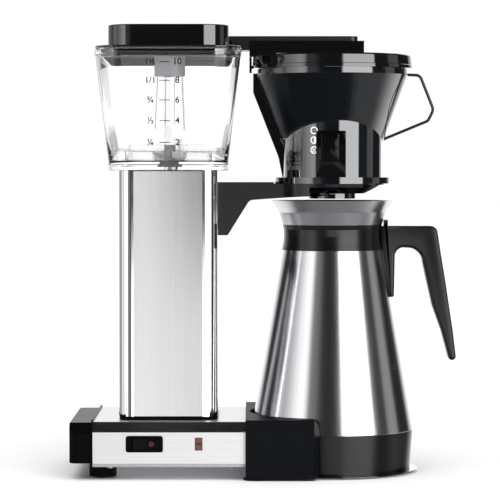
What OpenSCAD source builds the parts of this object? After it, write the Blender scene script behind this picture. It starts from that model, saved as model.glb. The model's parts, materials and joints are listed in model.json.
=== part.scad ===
// Drip coffee maker: a metal base and tower with a clear water tank, an outlet arm,
// a lift-out filter basket with a drip stop, and a double-walled carafe.
// Millimetres. +X runs from the tank to the carafe, -Y is the front, Z = 0 is the table.

/* [Overall] */
// Clear gap between the tank's rim and the basket's lid, which places the brewing axis
basket_gap = 8.65; // [3:0.05:57]
// Brewing axis to the tip of the carafe's handle
handle_reach = 106; // [96:0.1:130]

/* [Base] */
// Height of the rubber feet
foot_h = 11.2; // [9:0.1:16]
// Width of a rubber foot
foot_w = 22.5; // [16:0.1:26]
// Depth of the base housing
base_d = 152; // [144:0.5:190]
// Height of the base from its bottom plate to its top
base_h = 36.8; // [33:0.1:48]
// Wall of the base housing
base_wall = 1.5; // [1:0.1:2.5]
// Depth of the bevel along the top edges
bevel_d = 10; // [6:0.5:13]
// Height of the bevel along the top edges
bevel_h = 7.9; // [5:0.1:10]
// Thickness of the bottom plate
plate_t = 2.8; // [2:0.1:4]
// Length of the black left end cap
cap_l = 19.8; // [16:0.1:26]
// How far the end cap's flange stands proud
cap_lip = 2; // [1:0.1:2.8]
// Depth of the holder's sides past the round cut for the carafe
holder_side = 11; // [8:0.1:30]
// Height of the holder above the base's top
holder_rise = 2.8; // [1:0.1:6]
// Ground clearance below the holder
holder_lift = 1.6; // [1:0.1:3]
// Wall of the holder between the base and the carafe
holder_wall = 3.4; // [2.8:0.1:6]

/* [Switch] */
// Left end of the base housing to the middle of the switch
switch_at = 43.2; // [32:0.1:60]
// Width of the switch frame
bezel_w = 31; // [28:0.1:36]
// Height of the switch frame
bezel_h = 13.6; // [13.2:0.1:15]
// Width of the rocker
rocker_w = 22.4; // [18:0.1:24]
// Height of the rocker
rocker_h = 9; // [7:0.1:9.4]
// Tilt of the rocker to either side
rocker_tilt = 12; // [8:1:14]
// Middle of the switch to the middle of the indicator
indicator_at = 45.2; // [35:0.1:60]
// Width of the indicator lens
indicator_w = 6.4; // [4:0.1:9]
// Height of the indicator lens
indicator_h = 10.8; // [7:0.1:13]

/* [Tower] */
// Left end of the base to the middle of the tower
tower_at = 82; // [78:0.1:90]
// Width of the tower
tower_w = 83.9; // [78:0.1:100]
// Depth of the tower
tower_d = 104; // [94:0.5:124]
// Radius of the tower's corner columns
tower_r = 12; // [9:0.5:13]
// Wall of the tower
tower_wall = 3; // [2.6:0.1:4]
// Width of the brushed front panel
panel_w = 57.8; // [50:0.1:60]
// Thickness of the front panel and of the rear cover
panel_t = 1.5; // [1:0.1:2]
// Thickness of the gasket under the tower
gasket_h = 3; // [2:0.1:5]

/* [Water tank] */
// Width of the tank at its floor
tank_w = 101.7; // [98:0.1:112]
// Depth of the tank at its floor
tank_d = 118; // [112:0.5:136]
// How far each wall leans out over the tank's height
tank_flare = 10.9; // [6:0.1:14]
// Height of the tank
tank_h = 102; // [86:0.5:130]
// Corner radius of the tank
tank_r = 24; // [10:0.5:30]
// Wall of the tank
tank_wall = 2.2; // [1.8:0.1:3]
// Height of the straight skirt below the tank's floor
tank_skirt = 8; // [7:0.1:12]
// Height of the thick rim
tank_rim = 5.4; // [4:0.1:8]

/* [Tank lid] */
// Width of the lid's raised body
lid_w = 102.8; // [92:0.1:110]
// Depth of the lid's raised body
lid_d = 112; // [100:0.5:126]
// Height of the lid above the tank's rim
lid_h = 20.6; // [18.5:0.1:28]
// Corner radius of the lid
lid_r = 24; // [7:0.5:30]
// Depth of the lid's skirt inside the tank
lid_skirt = 6.8; // [5:0.1:12]

/* [Water path] */
// Outer radius of the glass riser tube
riser_r = 5; // [4:0.1:6]
// Wall of the glass riser tube
riser_wall = 1.3; // [1:0.1:1.6]
// Radius of the clear sleeve at the tank's floor
sleeve_r = 15.05; // [13.5:0.05:17]
// Radius of the clear sleeve at its top
sleeve_top_r = 11.9; // [11.5:0.05:12.8]
// Distance from the riser to the tank's outlet
outlet_at = 27; // [26:0.5:32]
// Width of the outlet arm
arm_w = 30; // [24:0.1:34]
// Height of the outlet arm
arm_h = 12.1; // [10:0.1:13]
// Length of the arm past the brewing axis
arm_over = 21.3; // [18:0.1:24]

/* [Filter basket] */
// Radius at the top of the basket's cone
cone_r = 65; // [62:0.1:74]
// Radius at the foot of the cone
cone_foot_r = 44.9; // [43:0.1:48]
// Half width of the upright lower body
body_r = 42; // [40:0.1:42.6]
// How far the lower body reaches past its half width at front and back
body_bulge = 8.5; // [6:0.1:9]
// Height of the upright lower body below the cone's foot
body_h = 33.4; // [31:0.1:42]
// Radius of the basket's foot flange
flange_r = 49.4; // [48.8:0.1:51.5]
// Thickness of the foot flange
flange_h = 5.3; // [4:0.1:7]
// Wall of the basket
basket_wall = 2.4; // [1.8:0.1:3]
// Radius of the drip outlet
spout_r = 20.2; // [18:0.1:24]
// Overhang of the basket's lid past the cone
basket_lid_over = 4.2; // [3.4:0.1:12]
// Height of the basket lid
basket_lid_h = 12; // [10:0.1:14]
// Radius of the wire handle
wire_r = 1.25; // [1:0.05:1.6]

/* [Drip stop] */
// Width of the lever's plate
lever_w = 16; // [12:0.1:18]
// Height of the lever's plate
lever_h = 24; // [18:0.1:25]
// Travel of the lever over its three positions
lever_travel = 16.4; // [12:0.1:16.6]
// Travel of the valve
valve_travel = 4.1; // [3:0.1:4.4]

/* [Carafe] */
// Largest radius of the carafe
carafe_r = 69.5; // [66:0.1:78]
// Height of the carafe above its tray
carafe_h = 229.7; // [215:0.1:280]
// Radius of the carafe's neck
neck_r = 42.7; // [40:0.1:46]
// Radius of the carafe's flared rim
rim_r = 52; // [49:0.1:56]
// Height of the carafe's black base band
band_h = 33.4; // [28:0.1:42]
// Height of the black collar
collar_h = 21.7; // [18:0.1:28]
// Height of the steel neck above the collar
mouth_h = 20.6; // [17:0.1:26]
// Wall of the carafe's steel
steel_t = 1.2; // [0.8:0.1:1.6]
// Space between the carafe's two walls
vacuum_gap = 3.6; // [2.5:0.1:5]
// Width of the carafe's handle
handle_w = 20; // [16:0.1:26]
// Gap between the carafe and its holder
holder_gap = 1.5; // [1:0.1:3]
// Thickness of the tray
tray_t = 1.9; // [1.5:0.1:3]
// How far the tray reaches past the carafe
tray_over = 4.2; // [3:0.1:4.4]
// Gap between the carafe's rim and the drip outlet
drip_gap = 1.6; // [1:0.1:4]

/* [Fits] */
// Clearance between pieces that slide or lift apart
lift_gap = 0.4; // [0.3:0.05:0.6]
// Radial clearance of a running fit
run_gap = 0.06; // [0.02:0.01:0.09]

/* [Hidden] */
$fn = 96;
rest_gap = 0.1;
cover_gap = 0.3;

// Places along X
basket_lid_r = cone_r + basket_lid_over;
brew_reach = tower_at + tank_w / 2 + tank_flare + basket_gap + basket_lid_r;
left_x = -(brew_reach + handle_reach) / 2;
brew_x = left_x + brew_reach;
house_x = left_x + cap_l;
tower_x = left_x + tower_at;
tower_right = tower_x + tower_w / 2;
switch_x = house_x + switch_at;
indicator_x = switch_x + indicator_at;
cut_r = carafe_r + holder_gap;
holder_d = 2 * (cut_r + holder_side);
holder_x = brew_x - cut_r - holder_wall;
holder_end = 17.3;
holder_tip = 12.6;

// Heights of the base
house_z = foot_h + plate_t;
base_top = foot_h + base_h;
switch_z = base_top - bevel_h - 9.7;
holder_top = base_top + holder_rise;
tray_r = carafe_r + tray_over;
pad_h = 0.6;
tray_top = pad_h + tray_t;

// Heights of the carafe
rim_z = tray_top + carafe_h;
collar_top = rim_z - mouth_h;
collar_z = collar_top - collar_h;
band_top = tray_top + band_h;
carafe_z = tray_top + rest_gap;

// Heights of the filter basket
spout_z = rim_z + drip_gap;
spout_h = 3.9;
bowl_z = spout_z + spout_h;
bowl_h = 8;
bowl_r = 27.6;
bowl_drop = 7.4;
bowl_top = bowl_z + bowl_h;
flange_z = spout_z + 13;
body_z = flange_z + flange_h;
cone_z = body_z + body_h;
brim_h = 4.8;
brim_r = cone_r - 0.2;

// Heights of the tower and the tank
bracket_top = flange_z + 1.2;
tower_z = base_top + gasket_h;
tower_top = bracket_top + 9.5;
sheet_t = 0.5;
tank_z = tower_top + sheet_t;
floor_z = tank_z + tank_skirt;
floor_t = 2.5;
tank_top = tank_z + tank_h;
rim_band_z = tank_top - tank_rim;
arm_z = tank_top + cover_gap;
arm_top = arm_z + arm_h;
arm_drop = 3.8;
basket_lid_top = arm_z - arm_drop;
brim_z = basket_lid_top - basket_lid_h;
cone_top = brim_z - brim_h;
cone_h = cone_top - cone_z;

// Water path
hose_r = 6;
hose_t = 1.8;
bend_z = tower_z + 25;
boiler_r = 12;
boiler_z = bend_z + 14;
boiler_h = 132;
jacket_t = 4;
valve_z = bend_z + 42;
ball_r = 4.5;
seat_r = 3.4;
ball_rise = sqrt(ball_r * ball_r - seat_r * seat_r) + rest_gap;
ball_room = 9;
riser_top = tank_top - 8;
collar_ring_h = 17.8;
collar_ring_z = tank_top - 2.2 - collar_ring_h;

// Points on an arc about [x, y], from angle a to angle b
function arc(x, y, r, a, b, n) = [for (i = [0:n]) let (t = a + (b - a) * i / n) [x + r * cos(t), y + r * sin(t)]];

// Bevelled section of the base, moved in by t: foot of the bevel, and its inner edge
bevel_len = norm([bevel_d, bevel_h]);
function bevel_foot(t) =
    base_top - bevel_h - t * bevel_d / bevel_len + t * (1 - bevel_h / bevel_len) * bevel_h / bevel_d;
function bevel_edge(t) =
    -base_d / 2 + t * bevel_h / bevel_len + (bevel_h - t + t * bevel_d / bevel_len) * bevel_d / bevel_h;

// How far the tank's wall leans out at height z, and its slope
lean_h = rim_band_z - floor_z;
lean = tank_flare - 0.6;
function tank_lean(z) = lean * (z - floor_z) / lean_h;
lean_angle = atan(lean / lean_h);

// Rounded rectangle about the origin
module rounded(w, d, r) {
    square([w - 2 * r, d], center = true);
    square([w, d - 2 * r], center = true);
    for (x = [-1, 1], y = [-1, 1])
        translate([x * (w / 2 - r), y * (d / 2 - r)]) circle(r);
}

// Upright prism of a rounded rectangle about x, from z0 to z1
module block(x, z0, z1, w, d, r) {
    translate([x, 0, z0]) linear_extrude(z1 - z0) rounded(w, d, r);
}

// Upright cylinder at x, y, from z0 to z1
module rod(x, y, z0, z1, r) {
    translate([x, y, z0]) cylinder(h = z1 - z0, r = r);
}

// Outline in Y and Z carried from x0 to x1
module along_x(x0, x1) {
    translate([x0, 0, 0]) rotate([90, 0, 90]) linear_extrude(x1 - x0) children();
}

// Outline in X and Z carried from y0 to y1
module along_y(y0, y1) {
    translate([0, y1, 0]) rotate([90, 0, 0]) linear_extrude(y1 - y0) children();
}

// Outline in radius and Z turned about the upright axis at x
module turned(x) {
    translate([x, 0, 0]) rotate_extrude() children();
}

// Flat outline of a wire of half width r that runs through points in X and Z
module wire_outline(points, r) {
    for (i = [0:len(points) - 2])
        let (p = points[i], d = points[i + 1] - points[i])
            translate(p) rotate(atan2(d[1], d[0])) translate([0, -r]) square([norm(d), 2 * r]);
    for (i = [1:len(points) - 2])
        translate(points[i]) circle(r);
}

// Section of the base, moved in by t, down to z0
module base_section(t, z0) {
    side = base_d / 2 - t;
    foot = bevel_foot(t);
    edge = -bevel_edge(t);
    polygon([[-side, z0], [-side, foot], [-edge, base_top - t], [edge, base_top - t], [side, foot], [side, z0]]);
}

screw_x = [house_x + 14, holder_x - 12];
screw_y = base_d / 2 - 9;
lip_t = 1.5;
lip_w = 14;
window_w = bezel_w - 3;
window_h = bezel_h - 1.2;
lens_lip = 1.5;
gland_x = house_x + 24;
gland_z = house_z + 13;
gland_r = 7;
cord_r = 3.8;

// Bent sheet housing of the base, with return lips for the bottom plate's screws
module base_housing() color("silver") difference() {
    along_x(house_x, holder_x) {
        difference() {
            base_section(0, house_z);
            base_section(base_wall, house_z + lip_t);
            translate([0, house_z]) square([base_d - 2 * lip_w, 4], center = true);
        }
    }
    translate([switch_x, -base_d / 2, switch_z]) cube([window_w, 12, window_h], center = true);
    translate([indicator_x, -base_d / 2, switch_z]) cube([indicator_w, 12, indicator_h], center = true);
    translate([gland_x, base_d / 2 - 6, gland_z]) rotate([-90, 0, 0]) cylinder(h = 12, r = gland_r);
    rod(tower_x, 0, base_top - 6, base_top + 6, 14);
    for (x = screw_x, s = [-1, 1])
        rod(x, s * screw_y, house_z - 1, house_z + 3, 1.7);
}

// Bottom plate of the base
module base_plate() color("dimgray") difference() {
    translate([house_x, -base_d / 2 + 1, foot_h]) cube([holder_x - house_x, base_d - 2, plate_t]);
    for (x = screw_x, s = [-1, 1])
        rod(x, s * screw_y, foot_h - 1, house_z + 1, 1.7);
}

// Screws that hold the bottom plate
module base_screws() color("gray")
    for (x = screw_x, s = [-1, 1]) {
        rod(x, s * screw_y, foot_h - 1.6, foot_h, 3.2);
        rod(x, s * screw_y, foot_h, house_z + 5, 1.6);
    }

// Hollow end cap with a flange that wraps the end of the housing
module left_end_cap() color("black") {
    cap_in = 0.6;
    cap_wall = 2.4;
    flange_t = 1.5;
    intersection() {
        along_x(left_x, house_x) base_section(cap_in, house_z);
        difference() {
            translate([left_x, 0, 0]) linear_extrude(base_top + 10)
                translate([cap_l, 0]) rounded(2 * cap_l, base_d - 2 * cap_in, 6);
            along_x(left_x + cap_wall, house_x + 1) base_section(cap_in + cap_wall, house_z + cap_wall);
        }
    }
    along_x(house_x - flange_t, house_x) difference() {
        base_section(-cap_lip, house_z - cap_lip);
        base_section(cap_in, house_z);
    }
}

// Outline of the holder, moved in by t
module holder_outline(t) {
    side = holder_d / 2 - t;
    tip_y = sqrt(cut_r * cut_r - holder_tip * holder_tip);
    polygon([
        [holder_x + t, -side], [brew_x - holder_end - t, -side], [brew_x - holder_tip - 2 * t, -tip_y],
        [brew_x - holder_tip - 2 * t, tip_y], [brew_x - holder_end - t, side], [holder_x + t, side]
    ]);
}

boss_r = 10;
boss_y = holder_d / 2 - 12;

// Black block cut round for the carafe, hollow from below, with sloped ends
module carafe_holder() color("black") difference() {
    translate([0, 0, holder_lift]) linear_extrude(holder_top - holder_lift) difference() {
        holder_outline(0);
        translate([brew_x, 0]) circle(cut_r);
    }
    translate([0, 0, holder_lift - 1]) linear_extrude(holder_top - holder_lift - 2) difference() {
        holder_outline(3);
        translate([brew_x, 0]) circle(cut_r + 3);
        for (s = [-1, 1])
            translate([holder_x + 8, s * boss_y]) circle(boss_r);
    }
    rod(brew_x, 0, 0, tray_top + 0.4, tray_r + 0.3);
    along_y(-holder_d, holder_d) polygon([
        [brew_x - holder_end, holder_top + 1], [brew_x - holder_end, holder_top],
        [brew_x - holder_end + 1.6, holder_top - 2], [brew_x - holder_tip - 1, holder_top - 6.2],
        [brew_x - holder_tip, holder_top - 10], [brew_x, holder_top - 12], [brew_x, holder_top + 1]
    ]);
}

// Thin round tray under the carafe, with a rounded edge
module carafe_tray() color("black") turned(brew_x) {
    translate([0, pad_h]) square([tray_r - tray_t / 2, tray_t]);
    translate([tray_r - tray_t / 2, pad_h + tray_t / 2]) circle(tray_t / 2);
}

// Pads under the tray and under the holder's bosses
module tray_pads() color("dimgray") {
    for (a = [0:60:300])
        rod(brew_x + (tray_r - 12) * cos(a), (tray_r - 12) * sin(a), 0, pad_h, 5);
    for (s = [-1, 1])
        difference() {
            rod(holder_x + 8, s * boss_y, 0, holder_lift, boss_r);
            rod(brew_x, 0, -1, holder_lift + 1, tray_r + 0.3);
        }
}

// Feet under the tank's end of the base
module rubber_feet() color("black")
    for (s = [-1, 1])
        translate([house_x - 3.8 + foot_w / 2, s * (base_d / 2 - 13.5 - foot_w / 2), 0]) {
            cylinder(h = 1.5, r1 = foot_w / 2 - 3, r2 = foot_w / 2 - 1.5);
            translate([0, 0, 1.5]) linear_extrude(foot_h - 1.5) rounded(foot_w, foot_w, 4);
        }

// Bushing where the cord would enter, with a flange outside and a nut inside
module cord_gland() color("black") difference() {
    translate([gland_x, base_d / 2, gland_z]) rotate([-90, 0, 0]) {
        translate([0, 0, -base_wall]) cylinder(h = base_wall, r = gland_r);
        cylinder(h = 2.5, r = gland_r + 2.5);
        translate([0, 0, -base_wall - 6]) cylinder(h = 6, r = gland_r + 2);
    }
    translate([gland_x, base_d / 2 - 20, gland_z]) rotate([-90, 0, 0]) cylinder(h = 40, r = cord_r);
}

// Mains terminals on the bottom plate
module terminal_block() color("white") difference() {
    translate([house_x + 50, base_d / 2 - 44, house_z]) cube([38, 16, 12]);
    for (i = [0:2])
        rod(house_x + 57 + 12 * i, base_d / 2 - 36, house_z + 4, house_z + 20, 2.2);
}

axis_y = -base_d / 2 + 1.5;
cavity_r = rocker_w / 2 + cover_gap;
pin_r = 1;
pin_h = 1.1;
bezel_t = 2;
opening_w = rocker_w + 0.8;
opening_h = rocker_h + 0.6;

// Pins of the rocker, grown by g
module rocker_pins(g) {
    rod(switch_x, axis_y, switch_z - rocker_h / 2 - pin_h, switch_z - rocker_h / 2, pin_r + g);
    rod(switch_x, axis_y, switch_z + rocker_h / 2, switch_z + rocker_h / 2 + pin_h, pin_r + g);
}

// Housing of the switch behind the base's front wall
module switch_body() color("dimgray") difference() {
    union() {
        translate([switch_x, -base_d / 2 + 10, switch_z]) cube([window_w, 20, window_h], center = true);
        for (x = [-7, 0, 7])
            translate([switch_x + x, -base_d / 2 + 24, switch_z]) cube([0.8, 8, 5], center = true);
    }
    translate([switch_x, axis_y, switch_z - rocker_h / 2 - cover_gap])
        cylinder(h = rocker_h + 2 * cover_gap, r = cavity_r);
    rocker_pins(run_gap);
}

// Frame round the rocker
module switch_bezel() color("black") along_y(-base_d / 2 - bezel_t, -base_d / 2) difference() {
    translate([switch_x, switch_z]) rounded(bezel_w, bezel_h, 2);
    translate([switch_x, switch_z]) rounded(opening_w, opening_h, 0.8);
}

lamp_x = 5;
lamp_r = 2.3;

// Lamp in the rocker's right half
module lamp_shape()
    translate([switch_x, axis_y, switch_z]) rotate([0, 0, rocker_tilt])
        translate([lamp_x, -4.5, 0]) rotate([-90, 0, 0]) cylinder(h = 3, r = lamp_r);

// Rocker with a shallow V face, resting with its lamp end pressed in
module rocker() color("black") difference() {
    union() {
        translate([switch_x, axis_y, switch_z - rocker_h / 2]) rotate([0, 0, rocker_tilt])
            linear_extrude(rocker_h) intersection() {
                circle(rocker_w / 2);
                polygon([[-12, 2], [-12, -4.6], [0, -3.4], [12, -4.6], [12, 2]]);
            }
        rocker_pins(0);
    }
    lamp_shape();
}

module rocker_lamp() color("red") lamp_shape();

// Lens of the indicator, with a lip behind the wall
module indicator_lens() color("saddlebrown")
    translate([indicator_x, -base_d / 2, switch_z]) {
        translate([0, base_wall / 2 - 0.4, 0]) cube([indicator_w, base_wall + 0.8, indicator_h], center = true);
        translate([0, base_wall + 1, 0])
            cube([indicator_w + 2 * lens_lip, 2, indicator_h + 2 * lens_lip], center = true);
    }

panel_step = 0.4;
ledge = 6;
screw_drop = 14;

// Panel slot and window in the front (-1) or back (1) of the tower
module panel_slot(side) {
    y = side * (tower_d / 2 - (panel_t + panel_step) / 2);
    translate([tower_x, y, (tower_z + tower_top) / 2])
        cube([panel_w, panel_t + panel_step, tower_top - tower_z + 1], center = true);
    translate([tower_x, side * (tower_d / 2 - 3), (tower_z + tower_top) / 2])
        cube([panel_w - 2 * ledge, 12, tower_top - tower_z - 24], center = true);
}

// Places of the rear cover's screws
module cover_screw_places()
    for (x = [-1, 1], z = [tower_z + screw_drop, tower_top - screw_drop])
        translate([tower_x + x * (panel_w / 2 - ledge / 2), tower_d / 2 - panel_step, z])
            rotate([90, 0, 0]) children();

bracket_screw_z = [bracket_top - 33, bracket_top - 10];

// Tower with rounded corner columns and recessed front and back
module tower_shell() color("silver") difference() {
    block(tower_x, tower_z, tower_top, tower_w, tower_d, tower_r);
    block(tower_x, tower_z - 1, tower_top + 1, tower_w - 2 * tower_wall, tower_d - 2 * tower_wall,
        tower_r - tower_wall);
    panel_slot(-1);
    panel_slot(1);
    cover_screw_places() cylinder(h = 8, r = 1.2);
    for (z = bracket_screw_z)
        translate([tower_right - 6, 0, z]) rotate([0, 90, 0]) cylinder(h = 12, r = 2);
}

// Brushed front panel
module front_panel() color("lightgray")
    translate([tower_x - panel_w / 2, -tower_d / 2 + panel_step, tower_z])
        cube([panel_w, panel_t, tower_top - tower_z]);

// Removable back cover with vents
module rear_cover() color("lightgray") difference() {
    translate([tower_x - panel_w / 2, tower_d / 2 - panel_step - panel_t, tower_z])
        cube([panel_w, panel_t, tower_top - tower_z]);
    cover_screw_places() cylinder(h = 8, r = 1.2);
    for (i = [0:5], z = [tower_z + 34, tower_top - 60])
        translate([tower_x, tower_d / 2, z + 6 * i]) cube([30, 12, 2.4], center = true);
}

module rear_cover_screws() color("gray")
    cover_screw_places() {
        cylinder(h = 6, r = 1.2);
        translate([0, 0, -1]) cylinder(h = 1, r = 2.4);
    }

// Gasket between the base and the tower
module tower_gasket() color("black") difference() {
    block(tower_x, base_top, tower_z, tower_w - 1, tower_d - 1, tower_r - 0.5);
    block(tower_x, base_top - 1, tower_z + 1, tower_w - 9, tower_d - 9, tower_r - 4.5);
}

outlet_hole = hose_r + 0.5;

// Plug and thin sheet that close the tower under the tank
module tower_deck() color("black") difference() {
    union() {
        block(tower_x, tower_top - 5, tower_top, tower_w - 2 * tower_wall, tower_d - 2 * tower_wall,
            tower_r - tower_wall);
        block(tower_x, tower_top, tank_z, tower_w, tower_d, tower_r);
    }
    rod(tower_x, 0, tower_top - 6, tank_z + 1, riser_r + 4);
    rod(tower_x, outlet_at, tower_top - 6, tank_z + 1, outlet_hole);
}

// Copper boiler with a nipple below and a collar for the riser above
module boiler_tube() color("chocolate") turned(tower_x) polygon([
    [hose_r - 1.2, bend_z], [hose_r, bend_z], [hose_r, boiler_z], [boiler_r, boiler_z],
    [boiler_r, boiler_z + boiler_h], [riser_r, boiler_z + boiler_h], [riser_r, boiler_z + boiler_h - 1.5],
    [boiler_r - 1.5, boiler_z + boiler_h - 1.5], [boiler_r - 1.5, boiler_z + 1.5],
    [hose_r - 1.2, boiler_z + 1.5]
]);

jacket_z = [boiler_z + 10, boiler_z + boiler_h - 17];

// Heating jacket on the boiler
module heater_jacket() color("gainsboro") difference() {
    rod(tower_x, 0, jacket_z[0], jacket_z[1], boiler_r + jacket_t);
    rod(tower_x, 0, jacket_z[0] - 1, jacket_z[1] + 1, boiler_r);
}

// Thermostat seated on the jacket's front
module thermostat() color("gray") difference() {
    translate([tower_x, -boiler_r - jacket_t - 8, jacket_z[0] + 35]) rotate([-90, 0, 0]) cylinder(h = 12, r = 7);
    rod(tower_x, 0, jacket_z[0], jacket_z[1], boiler_r + jacket_t);
}

// Thermal fuse seated on the jacket's front
module thermal_fuse() color("white") difference() {
    rod(tower_x, -boiler_r - jacket_t - 2, jacket_z[0] + 55, jacket_z[0] + 73, 2.5);
    rod(tower_x, 0, jacket_z[0], jacket_z[1], boiler_r + jacket_t);
}

// Hoses from the tank's outlet to the valve, and from the valve round to the boiler
module inlet_hose() color("snow") {
    bend = outlet_at / 2;
    difference() {
        rod(tower_x, outlet_at, valve_z + 34, tower_top - 14, hose_r + hose_t);
        rod(tower_x, outlet_at, valve_z + 33, tower_top - 13, hose_r);
    }
    difference() {
        rod(tower_x, outlet_at, bend_z, valve_z - 2, hose_r + hose_t);
        rod(tower_x, outlet_at, bend_z - 1, valve_z - 1, hose_r);
    }
    translate([tower_x, bend, bend_z]) rotate([-90, 0, 90]) rotate_extrude(angle = 180) translate([bend, 0])
        difference() {
            circle(hose_r + hose_t);
            circle(hose_r);
        }
    difference() {
        rod(tower_x, 0, bend_z, boiler_z - 1, hose_r + hose_t);
        rod(tower_x, 0, bend_z - 1, boiler_z, hose_r);
    }
}

seat_z = valve_z + 6;

// Housing of the non-return valve, with a seat above the ball and bypass slots below it
module check_valve_housing() color("white") difference() {
    union() {
        rod(tower_x, outlet_at, valve_z, valve_z + 22, hose_r + 3);
        rod(tower_x, outlet_at, valve_z - 12, valve_z + 44, hose_r);
    }
    rod(tower_x, outlet_at, valve_z - 13, valve_z + 45, seat_r);
    rod(tower_x, outlet_at, seat_z, seat_z + ball_room, ball_r + cover_gap);
    for (a = [0, 90])
        translate([tower_x, outlet_at, seat_z - 1.5]) rotate([0, 0, a])
            cube([2 * ball_r - 0.4, 2, 5], center = true);
}

// Ball resting on the lower edge of its seat
module check_ball() color("darkred") translate([tower_x, outlet_at, seat_z + ball_rise]) sphere(ball_r);

// Glass tube from the boiler to the outlet arm
module riser_tube() color("lightcyan") difference() {
    rod(tower_x, 0, boiler_z + boiler_h - 1.5, riser_top, riser_r);
    rod(tower_x, 0, boiler_z, riser_top + 1, riser_r - riser_wall);
}

// Clear sleeve that keeps the riser out of the water
module riser_sleeve() color("aliceblue") difference() {
    translate([tower_x, 0, floor_z]) cylinder(h = collar_ring_z - floor_z, r1 = sleeve_r, r2 = sleeve_top_r);
    translate([tower_x, 0, floor_z - 0.01])
        cylinder(h = collar_ring_z - floor_z + 0.02, r1 = sleeve_r - 1.6, r2 = sleeve_top_r - 1.6);
}

// Frosted collar at the sleeve's top
module sleeve_collar() color("darkgray") difference() {
    rod(tower_x, 0, collar_ring_z, collar_ring_z + collar_ring_h, sleeve_top_r + 1.45);
    rod(tower_x, 0, collar_ring_z - 1, collar_ring_z + collar_ring_h + 1, riser_r + 3.6);
}

// Solid of the tank's leaning walls, moved in by t, between two heights
module tank_solid(t, z0, z1) {
    hull()
        for (z = [z0, z1])
            translate([tower_x, 0, z]) linear_extrude(0.01)
                rounded(tank_w + 2 * tank_lean(z) - 2 * t, tank_d + 2 * tank_lean(z) - 2 * t, tank_r - t, $fn = 32);
}

rib_w = 74;
rib_d = 66;
rib_h = 6.6;

// Clear tank with a straight skirt, leaning walls and a thick rim
module water_tank() color("aliceblue", 0.4) {
    difference() {
        union() {
            block(tower_x, tank_z, floor_z, tank_w, tank_d, tank_r);
            tank_solid(0, floor_z, rim_band_z);
            block(tower_x, rim_band_z, tank_top, tank_w + 2 * tank_flare, tank_d + 2 * tank_flare, tank_r + 0.6);
        }
        tank_solid(tank_wall, floor_z, rim_band_z);
        block(tower_x, rim_band_z - 0.1, tank_top + 1, tank_w + 2 * (lean - tank_wall), tank_d + 2 * (lean - tank_wall),
            tank_r - tank_wall);
        block(tower_x, tank_z - 1, floor_z - floor_t, tank_w - 2 * tank_wall, tank_d - 2 * tank_wall,
            tank_r - tank_wall);
        rod(tower_x, 0, tank_z, floor_z + 1, riser_r + 3);
        rod(tower_x, outlet_at, tank_z, floor_z + 1, hose_r);
    }
    difference() {
        block(tower_x, floor_z, floor_z + rib_h, rib_w, rib_d + 22, 10);
        block(tower_x, floor_z - 1, floor_z + rib_h + 1, rib_w - 4, rib_d + 18, 8);
    }
}

mark_x = tower_x - 2.3;
mark_w = 8.6;
mark_drop = 11.6;
mark_step = 15.4;
mark_growth = 0.45;
mark_z = [for (i = [0:4]) tank_top - mark_drop - mark_step * i - mark_growth * i * (i - 1)];

// Printed level lines on the tank's front wall
module level_marks() color("black")
    for (z = mark_z)
        translate([mark_x, -tank_d / 2 - tank_lean(z), z]) rotate([lean_angle, 0, 0])
            translate([-mark_w / 2, -0.2, -0.35]) cube([mark_w, 0.2, 0.7]);

// Grommet round the riser in the tank's floor
module tank_seal() color("dimgray") difference() {
    union() {
        rod(tower_x, 0, floor_z - floor_t, floor_z, riser_r + 3);
        rod(tower_x, 0, floor_z - floor_t - 2, floor_z - floor_t, riser_r + 5.5);
    }
    rod(tower_x, 0, tank_z, floor_z + 1, riser_r);
}

// Outlet spigot through the tank's floor and the deck
module tank_outlet() color("white") difference() {
    union() {
        rod(tower_x, outlet_at, floor_z, floor_z + 1.5, hose_r + 2.5);
        rod(tower_x, outlet_at, tower_top - 22, floor_z, hose_r);
    }
    rod(tower_x, outlet_at, tower_top - 23, floor_z + 2, hose_r - 1.6);
}

// Nut on the outlet spigot, under the deck
module tank_nut() color("white") difference() {
    translate([tower_x, outlet_at, tower_top - 11]) cylinder(h = 6, r = hose_r + 5, $fn = 6);
    rod(tower_x, outlet_at, tower_top - 12, tower_top, hose_r);
}

float_x = tower_x + 9;
float_y = -tank_d / 2 + 26;
float_pin_r = 1.2;
float_r = 6;
float_h = 5;
float_lift = 10;

// Pin with a head that guides the float
module float_pin() color("black") {
    rod(float_x, float_y, floor_z, floor_z + float_h + float_lift + 2, float_pin_r);
    rod(float_x, float_y, floor_z + float_h + float_lift + 1, floor_z + float_h + float_lift + 2, float_pin_r + 1);
}

// Level float at the tank's floor
module tank_float() color("black") difference() {
    rod(float_x, float_y, floor_z + 0.3, floor_z + float_h, float_r);
    rod(float_x, float_y, floor_z, floor_z + float_h + 1, float_pin_r + run_gap);
}

ledge_t = 3.1;
ledge_w = 3.2;
fork_r = flange_r - 0.9;
fork_x = brew_x + 24.2;
bracket_w = 48;
bracket_root = 10.9;
ledge_z = flange_z - rest_gap;
cradle_x = brew_x - spout_r - lift_gap;

// Side outline of the bracket's arm and cradle
module bracket_side() {
    foot_x = tower_right + 8;
    knee_x = tower_right + 24.1;
    polygon(concat([
        [tower_right, bracket_top - 45.2], [tower_right, bracket_top],
        [brew_x - flange_r - 1, bracket_top], [brew_x - flange_r - 1, ledge_z], [cradle_x, ledge_z],
        [cradle_x, ledge_z - 10.7], [cradle_x - 7, ledge_z - 10.9]
    ], arc(knee_x + 6, bracket_top - 21, 6, 90, 150, 8), [[foot_x, bracket_top - 45.2]]));
}

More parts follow.
